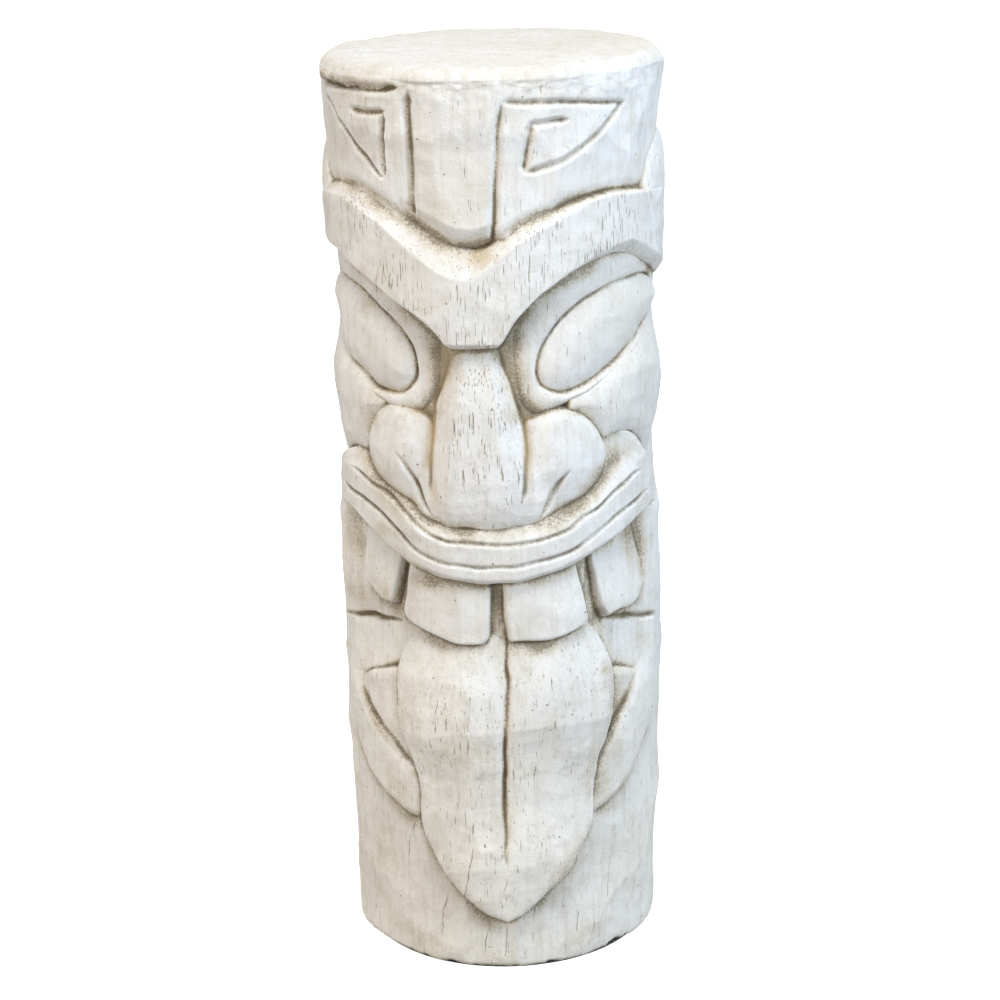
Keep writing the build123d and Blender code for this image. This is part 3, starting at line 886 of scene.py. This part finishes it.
# brown stains, one row each: s, z, half sizes and strength; the rows at (-38, 690) and (37, 682) are painted
# shade in the eye sockets beside the nose
STAINS_AND_SOCKET_SHADE = [
    (-54, 610, 8, 45, 1.0), (-50, 560, 7, 40, 0.7), (52, 600, 7, 45, 1.0), (-42, 670, 8, 30, 0.6),
    (-110, 655, 14, 10, 0.6), (6, 806, 18, 14, 0.8), (-90, 842, 34, 12, 0.35), (23, 165, 9, 40, 0.5),
    (55, 822, 26, 8, 0.35), (-38, 690, 16, 40, 0.7), (37, 682, 14, 40, 0.6), (-95, 395, 10, 14, 0.5),
    (0, 60, 120, 18, 0.25), (-120, 190, 60, 12, 0.3), (-70, 640, 20, 8, 0.6),
]
stain_and_socket_shade_map = spots(STAINS_AND_SOCKET_SHADE)
CRACKS = [
    [(-53, 277), (-52, 321)], [(-20, 253), (-13, 317)], [(73, 293), (74, 349)], [(52, 237), (62, 287)],
    [(-27, 93), (-18, 117), (-15, 173), (-6, 229)], [(15, 73), (20, 117)], [(-154, 173), (-138, 205)],
    [(-108, 109), (-106, 137), (-89, 173)], [(-67, 25), (-52, 101)], [(47, 33), (52, 73)],
    [(-10, 13), (-2, 53)], [(17, 13), (19, 49)], [(107, 33), (110, 57)], [(129, 33), (132, 65)],
    [(73, 962), (76, 984)], [(-186, 30), (-180, 95)], [(150, 30), (158, 110)], [(330, 120), (338, 300)],
    [(-400, 300), (-392, 470)], [(480, 500), (472, 690)], [(-506, 30), (-500, 150)],
    [(410, 20), (404, 90)], [(400, 700), (409, 800)], [(-330, 640), (-322, 760)],
]
# how far a point is to one side (+) or the other (-) of the nearest crack, so that the line stays finer
# than the mesh; the vertices store it up to CRACK_SIDE
CRACK_SIDE = 10.0
crack_map = np.full(S.shape, 3 * CRACK_SIDE)
for points in CRACKS:
    low, high = points[0][1], points[-1][1]
    off = S + 1.6 * RIPPLE + 0.5 * GRIT - np.interp(Z, [z for s, z in points], [s for s, z in points])
    off += np.where(off < 0, -1, 1) * np.maximum(0, np.maximum(low - Z, Z - high))
    crack_map = np.where(np.abs(off) < np.abs(crack_map), off, crack_map)


# ---------------------------------------------------------------- meshes
def surface_nets(field, z, s, r):
    """Closed quads where field (z, s, r) changes sign; returns points (z, s, r) and quads."""
    inside = field < 0
    a, b, c = np.array(field.shape) - 1
    count = np.zeros((a, b, c))
    total = np.zeros((a, b, c, 3))
    corners = [(i, j, k) for i in (0, 1) for j in (0, 1) for k in (0, 1)]
    for p in corners:
        for axis in range(3):
            if p[axis]:
                continue
            q = list(p)
            q[axis] = 1
            fp = field[p[0]:p[0] + a, p[1]:p[1] + b, p[2]:p[2] + c]
            fq = field[q[0]:q[0] + a, q[1]:q[1] + b, q[2]:q[2] + c]
            crosses = (fp < 0) != (fq < 0)
            t = np.where(crosses, fp / np.where(crosses, fp - fq, 1), 0)
            count += crosses
            for m in range(3):
                total[..., m] += np.where(crosses, p[m] + (t if m == axis else 0), 0)
    cells = count > 0
    number = np.full((a, b, c), -1)
    number[cells] = np.arange(cells.sum())
    at = np.argwhere(cells) + total[cells] / count[cells][:, None]
    points = np.stack([np.interp(at[:, m], np.arange(len(g)), g) for m, g in enumerate((z, s, r))], 1)
    quads = []
    for axis in range(3):
        low = np.take(inside, range(field.shape[axis] - 1), axis)
        high = np.take(inside, range(1, field.shape[axis]), axis)
        change = low != high
        others = [m for m in range(3) if m != axis]
        edges = np.argwhere(change)
        beside = edges[:, others]
        edges = edges[np.all((beside > 0) & (beside < [(a, b, c)[m] for m in others]), 1)]
        ring = []
        for d0, d1 in ((0, 0), (1, 0), (1, 1), (0, 1)):
            cell = edges.copy()
            cell[:, others[0]] -= 1 - d0
            cell[:, others[1]] -= 1 - d1
            ring.append(number[cell[:, 0], cell[:, 1], cell[:, 2]])
        ring = np.stack(ring, 1)
        outward = low[edges[:, 0], edges[:, 1], edges[:, 2]]
        if axis == 1:
            outward = ~outward
        # (z, s, r) is a left-handed order of axes once wrapped, so it is these faces that are turned round
        ring[outward] = ring[outward][:, ::-1]
        quads.append(ring)
    return points, np.concatenate(quads)


def wrap(s, z, r):
    """Points (s, z, r) in millimetres as positions in metres, one row each."""
    angle = s / REF_R
    return np.stack([r * np.sin(angle), -r * np.cos(angle), z], -1).reshape(-1, 3) * MM


SHARP = math.radians(62)


def make_piece(name, nodes, at, quads, wear_and_shade, material, pores=0.0):
    """A mesh piece with its dirt, wear and painted-shade attributes, riding on the root body; at is (s, z, r)
    of its vertices.
    """
    positions = wrap(*at)
    mesh = bpy.data.meshes.new(name)
    mesh.vertices.add(len(positions))
    mesh.vertices.foreach_set("co", positions.astype(np.float32).ravel())
    mesh.loops.add(quads.size)
    mesh.loops.foreach_set("vertex_index", quads.astype(np.int32).ravel())
    mesh.polygons.add(len(quads))
    mesh.polygons.foreach_set("loop_start", np.arange(0, quads.size, 4, dtype=np.int32))
    mesh.polygons.foreach_set("use_smooth", np.ones(len(quads), bool))
    mesh.update(calc_edges=True)
    mesh.validate()
    mesh.set_sharp_from_angle(angle=SHARP)
    attribute = mesh.attributes.new("wear_and_shade", "FLOAT_COLOR", "POINT")
    attribute.data.foreach_set("color", wear_and_shade.astype(np.float32).ravel())
    attribute = mesh.attributes.new("pores", "FLOAT", "POINT")
    attribute.data.foreach_set("value", np.full(len(positions), pores, np.float32))
    mesh.materials.append(material)
    obj = add_object(name, mesh)
    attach(obj, "root")
    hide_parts(*nodes)


def wear_and_shade_at(s, z, r):
    """Smeared dirt and painted shade, with walls painted darker the deeper they sink; stains and painted
    socket shade; dark crease lines of painted shade and dirt; and the distance to the nearest crack, for each
    vertex.
    """
    # walls are painted darker the deeper they sink below the ground beside them: painted shade, with dirt
    sunk_shade = np.clip((sample(rim_level, s, z) - r - 2.5) / 9, 0, 1)
    smear_and_shade = np.clip(sample(smear_and_shade_map, s, z) + 0.50 * sunk_shade, 0, 1)
    crack = np.clip(0.5 + sample(crack_map, s, z) / (2 * CRACK_SIDE), 0, 1)
    return np.stack([smear_and_shade, sample(stain_and_socket_shade_map, s, z), sample(crease_shade_and_dirt_map, s, z), crack], -1)


# ---------------------------------------------------------------- materials
class Nodes:
    """A short way to write a material's node tree."""

    def __init__(self, name):
        self.material = bpy.data.materials.new(name)
        self.material.use_nodes = True
        self.tree = self.material.node_tree
        self.shader = self.tree.nodes["Principled BSDF"]

    def put(self, kind, inputs=(), **settings):
        """Adds a node; inputs is {socket: value or output}."""
        made = self.tree.nodes.new(kind)
        for key, value in settings.items():
            setattr(made, key, value)
        for key, value in dict(inputs).items():
            self.feed(made.inputs[key], value)
        return made

    def feed(self, socket, value):
        """Links an output to a socket, or sets the socket's own value."""
        if isinstance(value, bpy.types.NodeSocket):
            self.tree.links.new(value, socket)
        else:
            socket.default_value = value

    def math(self, operation, a, b=0.0, clamp=False):
        """One sum; plus, minus and times are short for the usual ones."""
        return self.put("ShaderNodeMath", {0: a, 1: b}, operation=operation, use_clamp=clamp).outputs[0]

    def plus(self, a, b):
        return self.math("ADD", a, b)

    def minus(self, a, b):
        return self.math("SUBTRACT", a, b)

    def times(self, a, b, clamp=False):
        return self.math("MULTIPLY", a, b, clamp)

    def ramp(self, value, low, high):
        """0 below low, 1 above high, smooth between."""
        ends = {"Value": value, "From Min": low, "From Max": high}
        return self.put("ShaderNodeMapRange", ends, interpolation_type="SMOOTHSTEP").outputs["Result"]

    def mix(self, factor, a, b):
        """From a to b, which are colours or outputs."""
        made = self.put("ShaderNodeMix", data_type="RGBA")
        self.feed(made.inputs["Factor"], factor)
        for index, value in ((6, a), (7, b)):
            self.feed(made.inputs[index], (*value, 1) if isinstance(value, tuple) else value)
        return made.outputs[2]

    def coat(self, under, cover, share, colour):
        """Covers a colour with another: by share where cover is 1, not at all where it is 0."""
        return self.mix(self.times(cover, share), under, colour)

    def noise(self, vector, scale, detail=3.0, roughness=0.55):
        look = {"Vector": vector, "Scale": scale, "Detail": detail, "Roughness": roughness}
        return self.put("ShaderNodeTexNoise", look).outputs["Fac"]

    def finish(self, colour, roughness, relief, distance, strength):
        """Sets the shader's colour, roughness and bump; returns the material."""
        bump = self.put("ShaderNodeBump", {"Height": relief, "Distance": distance, "Strength": strength})
        self.feed(self.shader.inputs["Base Color"], colour)
        self.feed(self.shader.inputs["Normal"], bump.outputs["Normal"])
        self.feed(self.shader.inputs["Roughness"], roughness)
        return self.material


def cement_material():
    """Whitewashed cement: chalky white, dirt and painted shade in the creases and hollows, pores and
    pinholes, hairline cracks.
    """
    n = Nodes("whitewashed_cement")
    place_at = n.put("ShaderNodeTexCoord").outputs["Object"]
    wear_and_shade = n.put("ShaderNodeAttribute", attribute_name="wear_and_shade")
    parts = n.put("ShaderNodeSeparateColor", {"Color": wear_and_shade.outputs["Color"]})
    smear_and_shade, stain_and_socket_shade, lines = (parts.outputs[k] for k in ("Red", "Green", "Blue"))
    crack_side = wear_and_shade.outputs["Alpha"]
    pore_density = n.put("ShaderNodeAttribute", attribute_name="pores").outputs["Fac"]

    # chalk in two shades, warmer low down, mottled and brushed
    broad = n.noise(place_at, 6.0, 3.0)
    mottle = n.noise(place_at, 48.0, 5.0, 0.65)
    speck = n.noise(place_at, 420.0, 4.0, 0.75)
    upright = n.put("ShaderNodeMapping", {"Vector": place_at, "Scale": (1.0, 1.0, 0.048)}).outputs["Vector"]
    brushed = n.noise(upright, 170.0, 4.0, 0.6)
    height = n.put("ShaderNodeSeparateXYZ", {0: place_at}).outputs["Z"]
    low_down = n.plus(n.minus(0.28, height), n.times(n.minus(broad, 0.5), 1.2))
    chalk = n.mix(n.ramp(broad, 0.35, 0.65), (0.765, 0.745, 0.70), (0.83, 0.83, 0.825))
    chalk = n.coat(chalk, n.ramp(low_down, -0.25, 0.25), 0.75, (0.90, 0.865, 0.79))
    chalk = n.coat(chalk, n.ramp(mottle, 0.45, 0.68), 0.34, (0.60, 0.545, 0.46))
    chalk = n.coat(chalk, n.ramp(brushed, 0.47, 0.68), 0.28, (0.60, 0.55, 0.465))
    chalk = n.coat(chalk, n.ramp(speck, 0.50, 0.70), 0.30, (0.50, 0.47, 0.41))

    # dirt and painted shade: smeared thinly and grainy in the hollows, dark and fine along the creases
    grit = n.plus(n.times(mottle, 0.5), n.times(brushed, 0.5))
    rough = n.minus(n.plus(grit, n.times(speck, 0.8)), 0.9)
    smeared_and_shaded = n.times(smear_and_shade, n.plus(1.0, n.times(rough, 3.2)), clamp=True)
    halo = n.ramp(n.plus(smear_and_shade, n.times(rough, 0.3)), 0.02, 0.45)
    colour = n.coat(chalk, halo, 0.42, (0.80, 0.715, 0.57))
    colour = n.coat(colour, smeared_and_shaded, 0.74, (0.37, 0.31, 0.21))
    grains = n.ramp(n.plus(speck, n.times(smear_and_shade, 0.30)), 0.66, 0.80)
    colour = n.coat(colour, grains, 0.55, (0.20, 0.16, 0.105))
    broken = n.ramp(n.plus(lines, n.times(rough, 0.9)), 0.24, 1.0)
    colour = n.coat(colour, broken, 0.88, (0.165, 0.13, 0.08))

    # stains in rust brown, which also paint the shade in the eye sockets beside the nose
    rusty_and_socket_shade = n.ramp(n.plus(stain_and_socket_shade, n.times(n.minus(mottle, 0.5), 0.5)), 0.15, 1.0)
    colour = n.coat(colour, rusty_and_socket_shade, 0.55, (0.60, 0.46, 0.27))

    # pores of the wood that the mould was taken from: short upright dashes
    dashes = n.noise(upright, 740.0, 2.0, 0.5)
    patches = n.ramp(n.noise(place_at, 20.0, 2.0), 0.36, 0.64)
    limit = n.minus(0.725, n.times(pore_density, n.plus(0.035, n.times(patches, 0.095))))
    pore = n.ramp(n.minus(dashes, limit), 0.0, 0.03)
    colour = n.coat(colour, pore, 0.85, (0.29, 0.225, 0.15))

    # pinholes left by air in the mix
    cells = n.put("ShaderNodeTexVoronoi", {"Vector": place_at, "Scale": 75.0, "Randomness": 1.0})
    chance = n.put("ShaderNodeSeparateColor", {"Color": cells.outputs["Color"]}).outputs["Red"]
    size = n.times(n.ramp(chance, 0.25, 1.0), 0.080)
    hole = n.ramp(n.minus(size, cells.outputs["Distance"]), -0.006, 0.012)
    hole = n.times(hole, n.ramp(chance, 0.25, 0.30))
    colour = n.coat(colour, hole, 0.85, (0.10, 0.085, 0.07))

    # hairline cracks, up to 1 mm wide
    crack_away = n.times(n.math("ABSOLUTE", n.minus(crack_side, 0.5)), 2 * CRACK_SIDE)
    width = n.times(n.ramp(n.noise(place_at, 60.0, 3.0), 0.36, 0.70), 0.95)
    crack = n.ramp(n.minus(width, crack_away), -0.10, 0.35)
    colour = n.coat(colour, crack, 0.70, (0.22, 0.18, 0.125))

    pits = n.plus(n.times(pore, 0.5), n.plus(hole, n.times(crack, 0.6)))
    grain = n.plus(n.times(speck, 0.55), n.plus(n.times(mottle, 0.9), n.times(brushed, 0.35)))
    n.shader.inputs["Specular IOR Level"].default_value = 0.3
    return n.finish(colour, n.plus(0.74, n.times(mottle, 0.25)), n.minus(grain, pits), 0.0016, 0.7)


def rubber_material():
    """Dull black rubber with dust on it."""
    n = Nodes("pad_rubber")
    dust = n.noise(n.put("ShaderNodeTexCoord").outputs["Object"], 160.0, 4.0, 0.7)
    colour = n.mix(n.ramp(dust, 0.4, 0.75), (0.022, 0.021, 0.02), (0.10, 0.095, 0.085))
    return n.finish(colour, n.plus(0.6, n.times(dust, 0.3)), dust, 0.0005, 0.4)


CEMENT = cement_material()
RUBBER = rubber_material()


# ---------------------------------------------------------------- pieces
for f in features:
    field, radii = f.solid()
    points, quads = surface_nets(field, f.z[:, 0], f.s[0], radii)
    z, s, r = points.T
    make_piece(f.name, f.nodes, (s, z, r), quads, wear_and_shade_at(s, z, r), CEMENT, pores=f.pores)


def torus_quads(rows, columns):
    """Quads of a grid that closes on itself both ways."""
    j, i = np.meshgrid(np.arange(rows), np.arange(columns), indexing="ij")
    a = j * columns + i
    b = j * columns + (i + 1) % columns
    c = (j + 1) % rows * columns + (i + 1) % columns
    d = (j + 1) % rows * columns + i
    return np.stack([a, b, c, d], -1).reshape(-1, 4)


def turned_quads(rows, columns):
    """Quads of a closed turned form, whose rows run from its top centre round to its bottom centre."""
    k = np.arange(columns // 2 - 1)
    disc = np.stack([k, k + 1, columns - 2 - k, columns - 1 - k], 1)
    sides = torus_quads(rows, columns)[:-columns, ::-1]
    return np.concatenate([sides, disc, (rows - 1) * columns + disc[:, ::-1]])


def turned(profile, columns):
    """Rows of radii and rows of heights for a profile of (radius, height), turned in that many columns."""
    return [np.repeat(np.array(values, float)[:, None], columns, 1) for values in zip(*profile)]


def column_ring(name, s_line, z_line, pores):
    """A full-round stretch of the column's surface, closed by a plain inner wall."""
    s, z = np.meshgrid(s_line, np.concatenate([z_line, [z_line[-1], z_line[0]]]))
    r = sample(column, s, z)
    r[-2:] = INNER_R
    make_piece(name, ["shell"], (s, z, r), torus_quads(*s.shape), wear_and_shade_at(s, z, r), CEMENT, pores=pores)


# the body's plain back is in wider columns than its front
FRONT = 236.0
BACK_S = np.linspace(FRONT, TURN - FRONT, 216, endpoint=False)
BODY_S = np.concatenate([np.arange(-FRONT, FRONT, 2.0), BACK_S])
FOOT_HIGH = 244.0
HEAD_LOW = 806.0
BLOCK_TOP = 987.0
foot_z = np.concatenate([[2.0, 3.5, 6.0], np.linspace(8.0, FOOT_HIGH, 118)])
column_ring("Head_block", S_AXIS, np.linspace(HEAD_LOW, BLOCK_TOP, 116), 0.32)
column_ring("Column_body", BODY_S, np.linspace(FOOT_HIGH, HEAD_LOW, 214), 0.3)
column_ring("Column_foot", S_AXIS, foot_z, 0.25)

# the cap: trowelled flat, its edge rounded and smeared down over the head block in a torn hem
EDGE_R = 15.0
EDGE_Z = HEIGHT - EDGE_R
CENTRE_R = 4.0
SPIGOT_R = 165.0
SPIGOT_Z = 990.0
hem_noise = sample(RIPPLE, S_AXIS * 1.3, 500) + 0.6 * sample(GRIT, S_AXIS, 400)
overhang = step(-232, -205, S_AXIS) * step(-70, -112, S_AXIS)
hem = 978.0 + 3.6 * hem_noise - 1.5 * overhang
flat = [(rho, HEIGHT) for rho in np.linspace(CENTRE_R, RIM_R - EDGE_R, 34)]
bend = np.linspace(0, math.pi / 2, 14)[1:]
rounded = [(RIM_R - EDGE_R * (1 - math.sin(a)), EDGE_Z + EDGE_R * math.cos(a)) for a in bend]
rho, height = turned(flat + rounded, N_S)
top_rows = len(rho)
skirt_z = np.array([EDGE_Z * (1 - k) + hem * k for k in np.linspace(0.2, 1, 7)])
skirt_r = sample(column, S_AXIS, skirt_z) + 0.22 + 2.9 * overhang
skirt_r[-1] -= 0.5
rho = np.concatenate([rho, skirt_r, [np.full(N_S, SPIGOT_R)], [np.full(N_S, CENTRE_R)]])
height = np.concatenate([height, skirt_z, [hem + 1.0], [np.full(N_S, SPIGOT_Z)]])
x, y = rho * np.sin(S_AXIS / REF_R), -rho * np.cos(S_AXIS / REF_R)
lumps = sample(RIPPLE, x * 1.4, y * 1.4 + 500)
on_top = np.zeros(rho.shape)
on_top[:top_rows] = 1
near_side = step(150, RIM_R, rho) * on_top
side_lumps = sample(RIPPLE, S_AXIS, height)
slow_lumps = sample(DRIFT, S_AXIS, height)
spread = 0.7 * side_lumps + 1.1 * slow_lumps + 0.3 + 2.4 * overhang * step(990, 984, height)
rho = rho + near_side * spread
edge_drop = 1.2 * np.abs(slow_lumps) * step(150, 172, rho)
sink = 0.5 + 0.5 * lumps + 0.9 * step(150, 60, rho) + edge_drop
height = height - on_top * sink * step(984, 992, height)
wear_and_shade = wear_and_shade_at(S_AXIS, height, rho + 9)
# painted shadow under the cap's overhanging hem on the left, and thin dirt along the torn hem elsewhere
hem_dirt_and_shade = np.clip(0.9 - (height - hem) / (7 + 9 * overhang), 0, 0.8) * (0.14 + 0.86 * overhang)
wear_and_shade[..., 0] = np.maximum(hem_dirt_and_shade * (rho > 175), 0.10 * on_top)
wear_and_shade[..., 1:3] = 0.10, 0.0
make_piece("Top_cap", ["top_cap"], (S_AXIS, height, rho), turned_quads(*rho.shape), wear_and_shade, CEMENT)

# the pad: a disc with a softened edge
PAD = [(6, 2.0), (158.0, 2.0), (158.8, 1.6), (159, 1.0), (158.8, 0.5), (158.0, 0.0), (6, 0.0)]
pad_s = S_AXIS[::4]
rho, height = turned(PAD, len(pad_s))
blank = np.zeros((*rho.shape, 4))
make_piece("Base_pad", ["base_pad"], (pad_s, height, rho), turned_quads(*rho.shape), blank, RUBBER)
